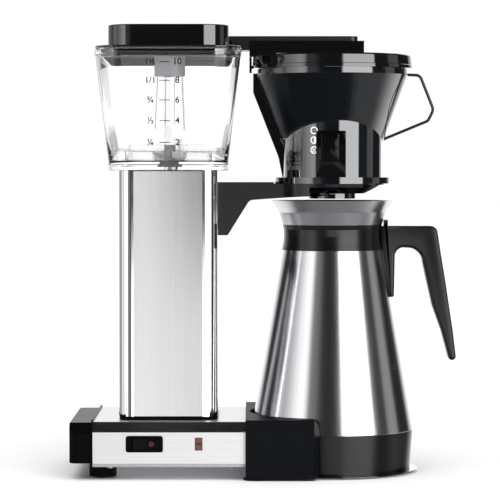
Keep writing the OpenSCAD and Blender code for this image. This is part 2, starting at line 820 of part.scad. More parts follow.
// Arm and open fork that hold the basket by its foot flange
module basket_bracket() color("black") difference() {
    union() {
        intersection() {
            along_y(-fork_r - 1, fork_r + 1) bracket_side();
            translate([0, 0, bracket_top - 60]) linear_extrude(80) {
                translate([tower_right, -bracket_w / 2])
                    square([brew_x - fork_r + bracket_root - tower_right, bracket_w]);
                intersection() {
                    translate([brew_x, 0]) circle(fork_r);
                    translate([tower_right, -fork_r]) square([cradle_x - tower_right, 2 * fork_r]);
                }
            }
        }
        translate([0, 0, ledge_z - ledge_t]) linear_extrude(ledge_t) difference() {
            union() {
                translate([brew_x, 0]) circle(fork_r);
                translate([brew_x, -fork_r]) square([fork_x - brew_x, 2 * fork_r]);
            }
            translate([brew_x, 0]) circle(fork_r - ledge_w);
            translate([brew_x, -fork_r + ledge_w]) square([fork_x, 2 * (fork_r - ledge_w)]);
        }
    }
    turned(brew_x) polygon([
        [0, spout_z - 5], [bowl_r + lift_gap, spout_z - 5], [bowl_r + lift_gap, bowl_z + bowl_h - bowl_drop],
        [cone_foot_r + lift_gap, bowl_top], [cone_foot_r + lift_gap, bracket_top + 1], [0, bracket_top + 1]
    ]);
    for (z = bracket_screw_z)
        translate([tower_right - 1, 0, z]) rotate([0, 90, 0]) cylinder(h = 11, r = 2);
}

// Screws from inside the tower into the bracket
module bracket_screws() color("gray")
    for (z = bracket_screw_z)
        translate([tower_right - tower_wall, 0, z]) rotate([0, 90, 0]) {
            cylinder(h = tower_wall + 10, r = 2);
            translate([0, 0, -2.4]) cylinder(h = 2.4, r = 3.6);
        }

arm_wall = 2;
arm_x0 = tower_x - arm_w / 2;
arm_x1 = brew_x + arm_over;
spray_r = 12;
drop_r = riser_r + 3;

// Hollow arm from the riser to above the basket
module outlet_arm() color("black") difference() {
    union() {
        translate([(arm_x0 + arm_x1) / 2, 0, arm_z]) linear_extrude(arm_h) rounded(arm_x1 - arm_x0, arm_w, 6);
        rod(tower_x, 0, riser_top - 8, arm_z, drop_r);
    }
    translate([(arm_x0 + arm_x1) / 2, 0, arm_z + arm_wall]) linear_extrude(arm_h - 2 * arm_wall)
        rounded(arm_x1 - arm_x0 - 2 * arm_wall, arm_w - 2 * arm_wall, 4);
    rod(tower_x, 0, riser_top - 9, arm_z + arm_wall + 1, riser_r + 2);
    rod(brew_x, 0, arm_z - 1, arm_z + arm_wall + 1, spray_r);
}

// Shower plate in the arm's underside
module shower_plate() color("dimgray") difference() {
    rod(brew_x, 0, arm_z, arm_z + arm_wall, spray_r);
    for (a = [0:45:315])
        rod(brew_x + 8 * cos(a), 8 * sin(a), arm_z - 1, arm_z + arm_wall + 1, 1.2);
    rod(brew_x, 0, arm_z - 1, arm_z + arm_wall + 1, 1.2);
}

// Seal in the arm's downpipe, sliding on the riser
module riser_seal() color("gray") difference() {
    rod(tower_x, 0, riser_top - 7, riser_top - 2, riser_r + 2);
    rod(tower_x, 0, riser_top - 8, riser_top - 1, riser_r + run_gap);
}

lid_wall = 2.4;
lid_flange = 2.2;
lid_z = arm_z + lid_flange;
lid_top = tank_top + lid_h;

// Lid of the tank, with a flange on the rim, a skirt inside it and a notch for the arm
module tank_lid() color("black") {
    skirt_w = tank_w + 2 * (lean - tank_wall) - 4.4;
    skirt_d = tank_d + 2 * (lean - tank_wall) - 4.4;
    difference() {
        union() {
            block(tower_x, lid_z, lid_top, lid_w, lid_d, lid_r);
            block(tower_x, arm_z, lid_z, tank_w + 2 * tank_flare, tank_d + 2 * tank_flare, tank_r + 0.6);
            block(tower_x, tank_top - lid_skirt, arm_z, skirt_w, skirt_d, tank_r - tank_wall - 2);
        }
        block(tower_x, tank_top - lid_skirt - 1, lid_z - lid_flange / 2, skirt_w - 4, skirt_d - 4,
            tank_r - tank_wall - 3.5);
        block(tower_x, arm_z - 1, lid_top - lid_wall, lid_w - 2 * lid_wall, lid_d - 2 * lid_wall, lid_r - lid_wall);
        translate([tower_x, -arm_w / 2 - lift_gap, tank_top - lid_skirt - 1])
            cube([lid_w, arm_w + 2 * lift_gap, arm_z + arm_h - tank_top + lid_skirt + 2]);
    }
}

bulge_r = body_r + body_bulge;
cavity_foot_r = body_r - basket_wall;
chamber_r = 8;
drain_r = 3.5;
seat_h = 3;
basket_floor = body_z + 10;

// Spine rib on the basket's left, and lugs that hold the wire handle
module basket_ribs() {
    along_y(-1.6, 1.6) polygon([
        [brew_x - cone_r - 3, brim_z - 3.5], [brew_x - cone_r - 3, cone_top - 15],
        [brew_x - cone_foot_r - 1.4, cone_z - 16], [brew_x - body_r - 0.8, body_z],
        [brew_x - body_r + 1, body_z], [brew_x - body_r + 1, cone_z], [brew_x - cone_r + 2, brim_z - 3.5]
    ]);
}

wire_top = [brew_x + cone_r - 1, cone_top + 0.3];
wire_knee = [brew_x + cone_r + 10.2, cone_top - 0.2];
wire_far = [brew_x + cone_r + 21.9, cone_top - 29.7];
wire_turn = [brew_x + cone_r + 17.2, cone_top - 39.2];
wire_foot = [brew_x + cone_foot_r - 1, cone_z - 0.8];

// Wire handle on the basket's right
module basket_handle() color("dimgray")
    along_y(-wire_r, wire_r) wire_outline([wire_top, wire_knee, wire_far, wire_turn, wire_foot], wire_r);

guide_t = 3;
lever_x = brew_x - 3.8;
lever_z = body_z + 12.9;
lever_gap = 0.35;
lever_t = 3.4;
guide_y = -bulge_r - guide_t;

// Raised housing on the basket's front, with a groove for the lever
module guide_shape() difference() {
    translate([lever_x - 12, guide_y, body_z]) cube([26, guide_t + 8, 40]);
    translate([brew_x, body_bulge, body_z - 1]) cylinder(h = 60, r = body_r);
    translate([brew_x, -body_bulge, body_z - 1]) cylinder(h = 60, r = body_r);
    translate([0, 0, body_z + 39]) rotate([-30, 0, 0]) translate([0, guide_y - 40, 0]) cube([200, 200, 40]);
    translate([lever_x - 2 - lever_gap, guide_y - 1, body_z - 1])
        cube([4 + 2 * lever_gap, guide_t, lever_z + lever_h + lever_gap - body_z + 1]);
}

module lever_guide() color("black") difference() {
    guide_shape();
    basket_solid();
}

// Lever with a tongue in the groove and a pointer at its top right
module drip_lever() color("black") {
    y = guide_y - lever_gap;
    translate([lever_x - lever_w / 2, y - lever_t, lever_z]) cube([lever_w, lever_t, lever_h]);
    translate([lever_x - 2, y - lever_t, lever_z + 12]) cube([4, lever_t + 2, lever_h - 12]);
    translate([lever_x + lever_w / 2, y - lever_t, lever_z + lever_h - 3]) cube([2.4, lever_t - 0.6, 3]);
    translate([lever_x - lever_w / 2, y - lever_t - 1.6, lever_z + lever_h / 2 - 1]) cube([lever_w, 1.6, 2]);
}

// Outer solid of the filter basket
module basket_solid() {
    translate([brew_x, 0, cone_z]) cylinder(h = cone_h, r1 = cone_foot_r, r2 = cone_r);
    translate([brew_x, 0, cone_z - 5.8]) cylinder(h = 5.8, r1 = body_r, r2 = cone_foot_r);
    rod(brew_x, 0, cone_top, brim_z, brim_r);
    ramp = (bulge_r + 0.4 - cone_foot_r) * cone_h / (cone_r - cone_foot_r);
    translate([brew_x, 0, body_z]) linear_extrude(body_h + ramp) {
        for (s = [-1, 1])
            translate([0, s * body_bulge]) circle(body_r);
        square([2 * body_r, 2 * body_bulge], center = true);
    }
    turned(brew_x) polygon([
        [0, spout_z], [spout_r, spout_z], [spout_r, bowl_z], [bowl_r, bowl_z + bowl_h - bowl_drop],
        [cone_foot_r, bowl_top], [cone_foot_r, flange_z], [flange_r, flange_z], [flange_r, body_z], [0, body_z]
    ]);
}

// Filter basket: cone, upright lower body, foot flange and drip outlet
module filter_basket() color("black") difference() {
    union() {
        basket_solid();
        basket_ribs();
    }
    turned(brew_x) polygon([
        [0, spout_z + 1], [chamber_r, spout_z + 1], [chamber_r, basket_floor - 6],
        [cavity_foot_r, basket_floor + 2], [cavity_foot_r, cone_z - 4], [cone_foot_r - basket_wall, cone_z],
        [cone_r - basket_wall, cone_top], [cone_r - basket_wall, brim_z + 1], [0, brim_z + 1]
    ]);
    rod(brew_x, 0, spout_z - 1, spout_z + 2, drain_r + 0.5);
    basket_handle();
}

// Rubber seat of the drip stop
module valve_seat() color("gray") difference() {
    rod(brew_x, 0, spout_z + 1, spout_z + 1 + seat_h, chamber_r);
    rod(brew_x, 0, spout_z, spout_z + 2 + seat_h, drain_r);
}

// Drip valve, open at rest
module drip_valve() color("black") {
    z = spout_z + 1 + seat_h + rest_gap + valve_travel;
    translate([brew_x, 0, z]) cylinder(h = 3, r1 = drain_r + 1, r2 = drain_r + 2.5);
    rod(brew_x, 0, z + 3, z + 18, 2);
    translate([brew_x, 0, z + 12]) linear_extrude(2) for (a = [0, 60, 120])
        rotate(a) square([2 * chamber_r - 1, 2], center = true);
}

top_edge = 2;
spray_hole = 14;
channel_wall = 2.5;
channel_h = 11.8;
channel_in = arm_w / 2 + 0.6;
channel_x0 = brew_x - 71.2;
channel_x1 = arm_x1 + 5.1;

// Basket lid with a channel for the arm, open towards the tank
module basket_lid() color("black") {
    r = basket_lid_r;
    top = basket_lid_top;
    in_r = cone_r - basket_wall - lift_gap;
    turned(brew_x) polygon(concat(
        [[spray_hole, top - 2], [spray_hole, top]],
        arc(r - 1 - top_edge, top - top_edge, top_edge, 90, 0, 6),
        [[r - 0.4, brim_z + 3.4], [r, brim_z + 3], [r, brim_z + cover_gap], [in_r, brim_z + cover_gap],
            [in_r, brim_z - 4.5], [in_r - 2, brim_z - 4.5], [in_r - 2, brim_z + 3], [r - 3.2, brim_z + 3],
            [r - 3.2, top - 2]]
    ));
    difference() {
        translate([channel_x0, -channel_in - channel_wall, top])
            cube([channel_x1 - channel_x0, 2 * (channel_in + channel_wall), channel_h]);
        translate([channel_x0 - 1, -channel_in, top - 1])
            cube([channel_x1 - channel_wall - channel_x0 + 1, 2 * channel_in, channel_h + 2]);
    }
    difference() {
        translate([channel_x0, -channel_in - channel_wall, top - 2]) cube([12, 2 * (channel_in + channel_wall), 2]);
        rod(brew_x, 0, top - 4, top + 1, r - 2);
    }
    translate([channel_x0, -9, brim_z - 3.5]) cube([2, 18, basket_lid_h + 1.5]);
}

shell_foot_r = carafe_r - 2.9;
neck_in = neck_r - 2.7;
liner_foot_r = shell_foot_r - steel_t - vacuum_gap;
liner_t = 1;
liner_r = carafe_r - 1.4 - steel_t - vacuum_gap;
liner_neck = neck_in - steel_t;

// Black cup round the carafe's foot
module carafe_base() color("black") turned(brew_x) polygon([
    [0, carafe_z], [carafe_r - 2.8, carafe_z], [carafe_r - 0.3, band_top], [carafe_r - 1.5, band_top],
    [shell_foot_r, carafe_z + 3], [0, carafe_z + 3]
]);

// Outer steel wall of the carafe
module carafe_shell() color("silver") turned(brew_x) polygon([
    [0, carafe_z + 3], [shell_foot_r, carafe_z + 3], [carafe_r - 1.5, band_top], [carafe_r, band_top],
    [neck_r, collar_z], [neck_in, collar_z], [neck_in, collar_top], [neck_in - steel_t, collar_top],
    [neck_in - steel_t, collar_z - 1], [carafe_r - 1.5 - steel_t, band_top + 1],
    [shell_foot_r - steel_t, carafe_z + 3 + steel_t], [0, carafe_z + 3 + steel_t]
]);

// Inner steel wall of the carafe
module carafe_liner() color("silver") turned(brew_x) {
    z = carafe_z + 3 + steel_t + vacuum_gap;
    polygon([
        [0, z], [liner_foot_r, z], [liner_r, band_top], [liner_neck - 2, collar_z - 8],
        [liner_neck, collar_z + 6], [liner_neck, collar_top], [liner_neck - liner_t, collar_top],
        [liner_neck - liner_t, collar_z + 6.2], [liner_neck - 2 - liner_t, collar_z - 7.8],
        [liner_r - liner_t, band_top + 0.2], [liner_foot_r - liner_t, z + liner_t], [0, z + liner_t]
    ]);
}

step_z = rim_z - 8.7;

// Flared steel rim
module carafe_rim() color("silver") turned(brew_x) polygon([
    [liner_neck - liner_t, collar_top], [neck_r, collar_top], [neck_r + 2.9, step_z - 1.5],
    [neck_r + 3.7, step_z], [rim_r, rim_z], [rim_r - steel_t, rim_z], [neck_r + 2.4, step_z + 0.3],
    [neck_r + 1.6, step_z - 1.2], [neck_r - steel_t, collar_top + 1.2], [liner_neck - liner_t, collar_top + 1.2]
]);

latch_x = brew_x + neck_r + 1.5;

// Black collar with hollowed sides
module carafe_collar() color("black") {
    turned(brew_x) polygon([
        [neck_in, collar_z], [neck_r + 0.6, collar_z], [neck_r - 0.7, collar_z + 6], [neck_r - 1.2, collar_z + 12],
        [neck_r - 0.9, collar_top - 4], [neck_r, collar_top], [neck_in, collar_top]
    ]);
}

// Upright solid that the handle wraps: steel body and collar
module carafe_core() turned(brew_x) polygon([
    [0, band_top], [carafe_r + 0.1, band_top], [neck_r + 0.1, collar_z], [neck_r + 0.6, collar_z],
    [neck_r - 0.7, collar_z + 6], [neck_r - 1.2, collar_z + 12], [neck_r - 0.9, collar_top - 4],
    [neck_r, collar_top], [neck_r + 2.9, step_z - 1.5], [0, step_z]
]);

// Outline of the handle in X and Z: over the top, down the grip, and back up inside
module handle_outline() {
    top = collar_top - 1.2;
    tip = brew_x + handle_reach;
    grip = brew_x + neck_r;
    polygon(concat(
        [[grip - 1.5, top], [latch_x, top], [latch_x, top + 5.6], [latch_x + 3.4, top + 5.6], [latch_x + 3.4, top]],
        arc(tip - 21.8, top - 6, 6, 90, 10, 8),
        [[tip - 6.6, top - 67.8], [tip, top - 111.6]],
        arc(tip - 3.3, top - 112, 3.3, 0, -180, 8),
        [[tip - 20.5, top - 67.8], [tip - 29, top - 29.7]],
        arc(tip - 42, top - 32, 13.4, 10, 80, 10),
        arc(grip + 18.6, top - 26.2, 7.8, 100, 180, 8),
        [[grip + 10.2, top - 57], [grip + 7.8, top - 61.4], [grip - 6, top - 61.4], [grip - 6, top - 20]]
    ));
}

// Handle with a long prong against the body and a latch at its top
module carafe_handle() color("black") difference() {
    along_y(-handle_w / 2, handle_w / 2) handle_outline();
    carafe_core();
}

lid_foot_z = collar_top + 1.4;
lid_r0 = neck_r - steel_t - cover_gap;
funnel_r = 8;

// Brew-through lid in the carafe's mouth, with a funnel and two finger ribs
module brew_lid() color("black") {
    turned(brew_x) polygon([
        [funnel_r, lid_foot_z - 14], [funnel_r + 1.5, lid_foot_z - 14], [funnel_r + 1.5, lid_foot_z],
        [lid_r0 - 1.4, lid_foot_z],
        [lid_r0 - 1.4, lid_foot_z + 3], [lid_r0, lid_foot_z + 3], [lid_r0 + 1.2, lid_foot_z + 7],
        [lid_r0 - 0.6, lid_foot_z + 7], [lid_r0 - 3, lid_foot_z + 3.6], [funnel_r + 3, lid_foot_z + 2],
        [funnel_r, lid_foot_z + 1]
    ]);
    for (s = [-1, 1])
        translate([brew_x - 12, s * 22 - 1.2, lid_foot_z + 2.2]) cube([24, 2.4, 6]);
}

// Gasket in the lid's groove
module lid_gasket() color("gray") difference() {
    rod(brew_x, 0, lid_foot_z, lid_foot_z + 3, lid_r0 - 0.2);
    rod(brew_x, 0, lid_foot_z - 1, lid_foot_z + 4, lid_r0 - 1.4);
}

base_housing();
base_plate();
left_end_cap();
carafe_holder();
carafe_tray();
rubber_feet();
tray_pads();
base_screws();
cord_gland();
terminal_block();
switch_body();
switch_bezel();
indicator_lens();
tower_shell();
front_panel();
tower_gasket();
tower_deck();
rear_cover();
rear_cover_screws();
boiler_tube();
heater_jacket();
thermostat();
thermal_fuse();
inlet_hose();
check_valve_housing();
riser_tube();
riser_sleeve();
sleeve_collar();
water_tank();
level_marks();
tank_seal();
tank_outlet();
tank_nut();
float_pin();
basket_bracket();
bracket_screws();
outlet_arm();
shower_plate();
riser_seal();
tank_lid();
filter_basket();
basket_handle();
lever_guide();
valve_seat();
basket_lid();
drip_lever();
drip_valve();
carafe_shell();
carafe_liner();
carafe_rim();
carafe_collar();
carafe_base();
carafe_handle();
brew_lid();
lid_gasket();
rocker();
rocker_lamp();
tank_float();
check_ball();
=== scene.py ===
"""Looks for a drip coffee maker: surfaces, materials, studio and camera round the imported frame. Metres."""

import json
import math

import bmesh
import bpy
import numpy as np
from mathutils import Matrix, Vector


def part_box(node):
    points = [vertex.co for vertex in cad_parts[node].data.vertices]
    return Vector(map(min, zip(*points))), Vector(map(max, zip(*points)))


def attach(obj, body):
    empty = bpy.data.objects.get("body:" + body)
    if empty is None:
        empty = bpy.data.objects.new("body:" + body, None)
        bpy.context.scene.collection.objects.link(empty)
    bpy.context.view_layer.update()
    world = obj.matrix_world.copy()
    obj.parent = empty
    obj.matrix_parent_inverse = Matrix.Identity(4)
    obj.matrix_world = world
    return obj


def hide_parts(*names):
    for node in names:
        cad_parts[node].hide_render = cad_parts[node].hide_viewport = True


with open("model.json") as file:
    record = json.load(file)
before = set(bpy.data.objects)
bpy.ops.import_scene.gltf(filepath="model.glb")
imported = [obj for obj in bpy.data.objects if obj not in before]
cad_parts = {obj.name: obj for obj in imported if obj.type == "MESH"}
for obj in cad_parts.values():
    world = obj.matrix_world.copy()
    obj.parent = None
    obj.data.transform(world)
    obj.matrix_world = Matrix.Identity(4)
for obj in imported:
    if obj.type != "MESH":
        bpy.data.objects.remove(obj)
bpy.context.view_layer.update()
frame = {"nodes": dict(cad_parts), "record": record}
NODES = frame["nodes"]
MM = 0.001


# ---------------------------------------------------------------- shader maths

class Signal:
    """A number or vector inside a material; Python arithmetic on it adds Math nodes."""

    def __init__(self, paint, socket):
        self.paint = paint
        self.socket = socket

    def _math(self, operation, *terms):
        return self.paint.node("ShaderNodeMath", {"operation": operation}, *terms)

    def __add__(self, other):
        return self._math("ADD", self, other)

    def __sub__(self, other):
        return self._math("SUBTRACT", self, other)

    def __rsub__(self, other):
        return self._math("SUBTRACT", other, self)

    def __mul__(self, other):
        return self._math("MULTIPLY", self, other)

    def clamp(self):
        """The value held between 0 and 1."""
        return self.paint.node("ShaderNodeClamp", {}, self, 0.0, 1.0)


class Paint:
    """One material. node() adds any node; its other methods are short ways to the common ones."""

    def __init__(self, name, **constants):
        self.material = bpy.data.materials.new(name)
        self.material.use_nodes = True
        self.tree = self.material.node_tree
        self.surface = self.tree.nodes["Principled BSDF"]
        for label, value in constants.items():
            self.surface.inputs[label.replace("_", " ")].default_value = value

    @classmethod
    def of_world(cls, world):
        """The same short ways for a world's nodes."""
        sky = cls.__new__(cls)
        sky.tree = world.node_tree
        return sky

    def node(self, kind, settings, *values, output=0, **named):
        """A node of this kind with its settings, then its sockets in order or by name."""
        made = self.tree.nodes.new(kind)
        for label, value in settings.items():
            if label == "stops":
                self._stops(made.color_ramp, value)
            else:
                setattr(made, label, value)
        for place, value in list(enumerate(values)) + list(named.items()):
            socket = made.inputs[place.replace("_", " ") if isinstance(place, str) else place]
            self.feed(socket, value)
        return Signal(self, made.outputs[output])

    def _stops(self, ramp, stops):
        """Sets a ramp's stops from (position, colour) pairs."""
        while len(ramp.elements) > 1:
            ramp.elements.remove(ramp.elements[-1])
        ramp.elements[0].position, ramp.elements[0].color = stops[0][0], (*stops[0][1], 1)
        for position, colour in stops[1:]:
            ramp.elements.new(position).color = (*colour, 1)

    def feed(self, socket, value):
        """Links a signal to a socket, or sets its constant."""
        if isinstance(value, Signal):
            self.tree.links.new(value.socket, socket)
        elif isinstance(value, tuple) and len(value) == 3 and socket.type == "RGBA":
            socket.default_value = (*value, 1)
        else:
            socket.default_value = value

    def place(self):
        """The point on the piece, in the object's own metres."""
        return self.node("ShaderNodeTexCoord", {}, output=3)

    def axes(self, vector=None):
        """The x, y and z of a point, as three signals."""
        split = self.node("ShaderNodeSeparateXYZ", {}, vector or self.place()).socket.node
        return [Signal(self, out) for out in split.outputs]

    def point(self, x, y, z):
        """A vector from three signals or numbers."""
        return self.node("ShaderNodeCombineXYZ", {}, x, y, z)

    def noise(self, scale, stretch=(1, 1, 1), detail=3.0, where=None):
        """Noise from 0 to 1 with features of about 1/scale metres, drawn out by stretch."""
        grid = self.node("ShaderNodeMapping", {}, where or self.place(), Scale=stretch)
        return self.node("ShaderNodeTexNoise", {}, grid, Scale=scale, Detail=detail)

    def mix(self, factor, dark, light):
        """Colour between dark and light by factor."""
        made = self.tree.nodes.new("ShaderNodeMix")
        made.data_type = "RGBA"
        self.feed(made.inputs["Factor"], factor)
        self.feed(made.inputs[6], dark)
        self.feed(made.inputs[7], light)
        return Signal(self, made.outputs[2])

    def band(self, value, low, high):
        """0 below low, 1 above high and a smooth rise between."""
        smooth = {"interpolation_type": "SMOOTHSTEP"}
        return self.node("ShaderNodeMapRange", smooth, value, low, high, 0.0, 1.0)

    def bump(self, height, strength, distance):
        """Bump from a height signal, distance in metres."""
        made = self.node("ShaderNodeBump", {}, Strength=strength, Distance=distance, Height=height)
        self.feed(self.surface.inputs["Normal"], made)

    def set(self, **signals):
        """Feeds the surface's sockets by name and gives back the material."""
        for label, value in signals.items():
            self.feed(self.surface.inputs[label.replace("_", " ")], value)
        return self.material


# ---------------------------------------------------------------- finishes

def brushed(name, tint, stretch, rough, streak=0.05, depth=0.3, around=None, painted_shade=None):
    """Metal with fine brushing: noise drawn out along the brushing changes colour, roughness and height.

    around is the x and y of a round piece's axis, which the brushing follows; fade darkens it by place as
    painted shade mixed into its colour.
    """
    paint = Paint(name, Metallic=1.0)
    where = None
    if around is not None:
        x, y, z = paint.axes()
        angle = paint.node("ShaderNodeMath", {"operation": "ARCTAN2"}, y - around[1], x - around[0])
        where = paint.point(angle * UNROLL_RADIUS, 0.0, z)
    fine = paint.noise(1800, stretch, 4.0, where)
    broad = paint.noise(160, stretch, 3.0, where)
    grain = fine * 0.65 + broad * 0.35
    dark = tuple(c * (1 - 3 * streak) for c in tint)
    light = tuple(min(1.0, c * (1 + streak)) for c in tint)
    paint.bump(fine, depth, 0.00004)
    colour = paint.mix(paint.band(grain, 0.3, 0.7), dark, light)
    # Painted shade: the colour is mixed towards a dark metal by place
    if painted_shade is not None:
        colour = paint.mix(painted_shade(paint), colour, PAINTED_SHADE_METAL)
    return paint.set(
        Base_Color=colour,
        Roughness=grain * 0.12 + (rough - 0.06),
    )


def panel_painted_shade(paint):
    """Tower front: painted shade, a soft darkening towards the right, stronger near the top, where the metal
    reflects less of the studio.
    """
    x, _, z = paint.axes()
    right = paint.band(x, tower_x - 36 * MM, tower_x + 40 * MM)
    high = paint.band(z, 110 * MM, 262 * MM)
    return right * (high * 0.42 + 0.22)


def bevel_painted_shade(paint):
    """Base: painted shade, its sloping front edge made much darker than its faces, as where it reflects the
    dark ceiling.
    """
    _, y, z = paint.axes()
    above_foot = paint.band(z, BEVEL_FOOT - 0.2 * MM, BEVEL_FOOT + 0.4 * MM)
    below_top = 1.0 - paint.band(z, BASE_TOP - 0.5 * MM, BASE_TOP - 0.2 * MM)
    at_front = 1.0 - paint.band(y, -60 * MM, -55 * MM)
    return above_foot * below_top * at_front * 0.85


def polished(name, tint, rough=0.07):
    """Polished metal with faint smears in its gloss."""
    paint = Paint(name, Metallic=1.0)
    smear = paint.noise(45, (1, 1, 0.25), 4.0)
    return paint.set(
        Base_Color=paint.mix(smear, tuple(c * 0.95 for c in tint), tint),
        Roughness=paint.band(smear, 0.35, 0.8) * 0.07 + (rough - 0.02),
    )


def moulded(name, tint, rough, grain=0.0, grain_scale=2600, coat=0.0, mottle=0.2, shine=0.5, painted_glow=0.0):
    """Moulded plastic: slow mottling in colour and gloss, and a fine spark-eroded grain in its height.

    shine is the strength of its reflections, and glow is painted light: a little light of its own that makes
    white print brighter.
    """
    paint = Paint(name, Coat_Weight=coat, Coat_Roughness=0.06, Specular_IOR_Level=shine,
                  Emission_Color=(*tint, 1), Emission_Strength=painted_glow)
    cloud = paint.noise(55, (1, 1, 1), 4.0)
    pits = paint.noise(grain_scale, (1, 1, 1), 2.0)
    if grain:
        paint.bump(pits, grain, 0.00006)
    lighter = tuple(c * (1 + mottle) + 0.002 for c in tint)
    return paint.set(
        Base_Color=paint.mix(cloud * 0.6 + pits * 0.4, tint, lighter),
        Roughness=(cloud * 0.08 + pits * 0.05) + (rough - 0.065),
    )


def gloss(name, tint, rough=0.05):
    """Glossy moulded plastic with slight flow marks and fine wear in its shine."""
    paint = Paint(name, Specular_IOR_Level=0.5, Coat_Weight=0.9, Coat_IOR=1.75, Coat_Roughness=0.03)
    flow = paint.noise(28, (1, 1, 2.2), 3.0)
    dust = paint.noise(420, (1, 1, 1), 2.0)
    paint.bump(flow, 0.02, 0.0006)
    return paint.set(
        Base_Color=paint.mix(flow, tint, tuple(c * 1.3 + 0.001 for c in tint)),
        Roughness=paint.band(dust, 0.55, 0.8) * 0.05 + flow * 0.03 + (rough - 0.015),
    )


def basket_finish():
    """Basket plastic: matt on the cone, glossy where the surface stands outside it or below its foot."""
    paint = Paint("basket_black", Specular_IOR_Level=0.14, Coat_IOR=2.1, Coat_Roughness=0.03)
    x, y, z = paint.axes()
    x = x - middle_x("basket_lid")
    radius = paint.node("ShaderNodeMath", {"operation": "SQRT"}, x * x + y * y)
    slope = (CONE_TOP_R - CONE_FOOT_R) / (CONE_TOP - CONE_FOOT)
    cone = (z - CONE_FOOT) * slope + CONE_FOOT_R
    outside = paint.band(radius - cone, 0.15 * MM, 0.35 * MM)
    below = 1.0 - paint.band(z, CONE_FOOT - 0.4 * MM, CONE_FOOT)
    rim = paint.band(z, CONE_TOP - 0.2 * MM, CONE_TOP)
    glossy = (outside + below + rim).clamp()
    cloud = paint.noise(55, (1, 1, 1), 4.0)
    pits = paint.noise(2600, (1, 1, 1), 2.0)
    paint.bump(pits * (1.0 - glossy), 0.10, 0.00006)
    return paint.set(
        Base_Color=paint.mix(cloud * 0.6 + pits * 0.4, BASKET_DARK, BASKET_LIGHT),
        Roughness=(cloud * 0.06 + 0.30) * (1.0 - glossy) + glossy * 0.06,
        Coat_Weight=glossy * 0.95,
    )


def rubber(name, tint, rough=0.75):
    """Matt rubber with a dusty bloom."""
    paint = Paint(name, Specular_IOR_Level=0.06)
    bloom = paint.noise(90, (1, 1, 1), 5.0)
    paint.bump(paint.noise(1500, (1, 1, 1), 2.0), 0.2, 0.00008)
    return paint.set(
        Base_Color=paint.mix(bloom, tint, tuple(c * 1.6 + 0.001 for c in tint)),
        Roughness=bloom * 0.15 + (rough - 0.07),
    )


def clear(name, tint, ior=1.49):
    """Clear plastic or glass, with faint ripples in its surface."""
    paint = Paint(name, Transmission_Weight=1.0, IOR=ior)
    ripple = paint.noise(38, (1, 1, 0.5), 2.0)
    paint.bump(ripple, 0.03, 0.0005)
    return paint.set(
        Base_Color=paint.mix(ripple, tint, tuple(min(1.0, c * 1.02) for c in tint)),
        Roughness=ripple * 0.02,
    )


def lit_lens(name, dark, light, middle, width):
    """Coloured lens, darker in a band across its middle height and with a ribbed back."""
    paint = Paint(name, Coat_Weight=0.2, Coat_Roughness=0.08, Specular_IOR_Level=0.3)
    along = paint.axes()[2]
    away = paint.node("ShaderNodeMath", {"operation": "ABSOLUTE"}, along - middle)
    ribs = paint.node("ShaderNodeMath", {"operation": "SINE"}, along * 5200.0)
    paint.bump(ribs, 0.1, 0.0001)
    return paint.set(
        Base_Color=paint.mix(paint.band(away + ribs * 0.00015, 0.0, width), dark, light),
        Roughness=paint.noise(600) * 0.1 + 0.15,
    )


# ---------------------------------------------------------------- surfaces

def fillet(points, sizes, steps):
    """A path's points with each corner rounded by an arc tangent to both sides, of its radius in sizes."""
    points = [np.array(p, float) for p in points]
    out = []
    for i, (p, size) in enumerate(zip(points, sizes)):
        if size <= 0:
            out.append(p)
            continue
        a, b = points[i - 1] - p, points[(i + 1) % len(points)] - p
        la, lb = np.linalg.norm(a), np.linalg.norm(b)
        a, b = a / la, b / lb
        half = math.acos(np.clip(a @ b, -1, 1)) / 2
        cut = min(size / math.tan(half), 0.49 * la, 0.49 * lb)
        radius = cut * math.tan(half)
        centre = p + (a + b) / np.linalg.norm(a + b) * (radius / math.sin(half))
        start, end = p + a * cut - centre, p + b * cut - centre
        sweep = math.acos(np.clip(start @ end / radius ** 2, -1, 1))
        for t in np.linspace(0, 1, steps + 1):
            w0 = math.sin((1 - t) * sweep) / math.sin(sweep)
            w1 = math.sin(t * sweep) / math.sin(sweep)
            out.append(centre + start * w0 + end * w1)
    return np.array(out)


def grid_faces(rows, columns, wrap_rows, wrap_columns):
    """Quads over a grid of points, wrapped round in either direction."""
    i = np.arange(rows if wrap_rows else rows - 1)[:, None]
    j = np.arange(columns if wrap_columns else columns - 1)[None, :]
    i1, j1 = (i + 1) % rows, (j + 1) % columns
    quads = np.stack([i * columns + j, i1 * columns + j, i1 * columns + j1, i * columns + j1], -1)
    return quads.reshape(-1, 4)


def finish_mesh(name, points, faces, material, smooth=35.0):
    """An object from points and faces, its normals turned outwards, smooth except across sharp edges."""
    mesh = bpy.data.meshes.new(name)
    mesh.from_pydata(points.reshape(-1, 3).tolist(), [], [list(f) for f in faces])
    work = bmesh.new()
    work.from_mesh(mesh)
    bmesh.ops.remove_doubles(work, verts=work.verts, dist=1e-7)
    bmesh.ops.recalc_face_normals(work, faces=work.faces)
    work.to_mesh(mesh)
    work.free()
    mesh.shade_smooth()
    mesh.set_sharp_from_angle(angle=math.radians(smooth))
    mesh.materials.append(material)
    made = bpy.data.objects.new(name, mesh)
    bpy.context.scene.collection.objects.link(made)
    return made


def turned(name, profile, centre_x, material, segments, smooth):
    """A closed profile of (radius, height) points carried round the upright axis at centre_x."""
    angle = np.linspace(0, 2 * math.pi, segments, endpoint=False)[:, None]
    radius, height = profile[None, :, 0], profile[None, :, 1]
    points = np.stack([centre_x + radius * np.cos(angle), radius * np.sin(angle), height + 0 * angle], -1)
    return finish_mesh(name, points, grid_faces(segments, len(profile), True, True), material, smooth)


